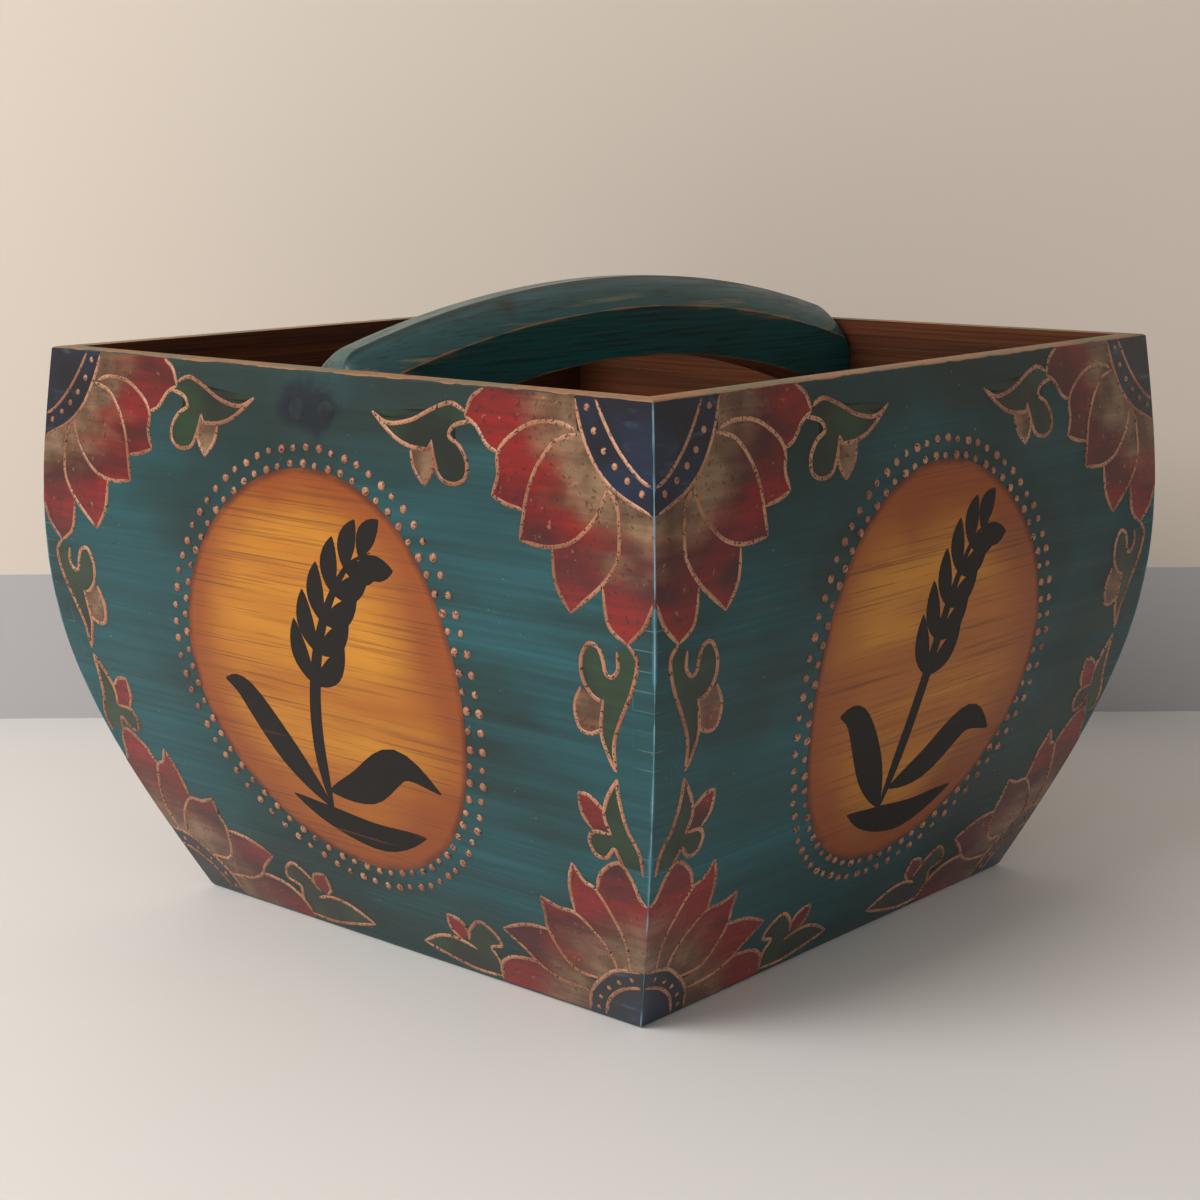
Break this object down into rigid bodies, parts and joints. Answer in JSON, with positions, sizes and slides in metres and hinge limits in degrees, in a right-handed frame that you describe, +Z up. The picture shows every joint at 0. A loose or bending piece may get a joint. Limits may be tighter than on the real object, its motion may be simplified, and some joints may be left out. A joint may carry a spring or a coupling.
{
  "type": "grain measure",
  "caption": "Square grain measure with bowl-curved, finger-jointed wooden walls, a wedged bottom board and an arched carrying handle across its mouth.",
  "frame": {"origin": "centre of the underside", "axes": "+Z up; the handle runs along Y from the front wall (-Y) to the back wall (+Y); +X is the right wall"},
  "size_m": [0.3402, 0.3402, 0.2647],
  "materials": {
    "wall_paint": "teal paint over wood, varnished, worn at the edges",
    "stained_wood": "dark brown stain, satin",
    "handle_paint": "teal paint over wood, rubbed through on the arris",
    "screw_steel": "plain steel",
    "plug_paint": "dark filler, painted over",
    "outline_copper": "raised copper-tan paste, varnished",
    "medallion_gold": "golden varnish over bare wood grain",
    "petal_red": "red enamel fading to tan",
    "leaf_green": "dark green enamel",
    "heart_navy": "navy enamel, glossy",
    "brush_black": "matt black brush paint"
  },
  "bodies": {
    "root": {"front_wall": "wall_paint", "back_wall": "wall_paint", "left_wall": "wall_paint", "right_wall": "wall_paint", "bottom_board": "stained_wood", "handle": "handle_paint", "handle_screw_front_left": "screw_steel", "handle_screw_front_right": "screw_steel", "handle_screw_back_left": "screw_steel", "handle_screw_back_right": "screw_steel", "screw_plug_front_left": "plug_paint", "screw_plug_front_right": "plug_paint", "screw_plug_back_left": "plug_paint", "screw_plug_back_right": "plug_paint"}
  },
  "joints": []
}
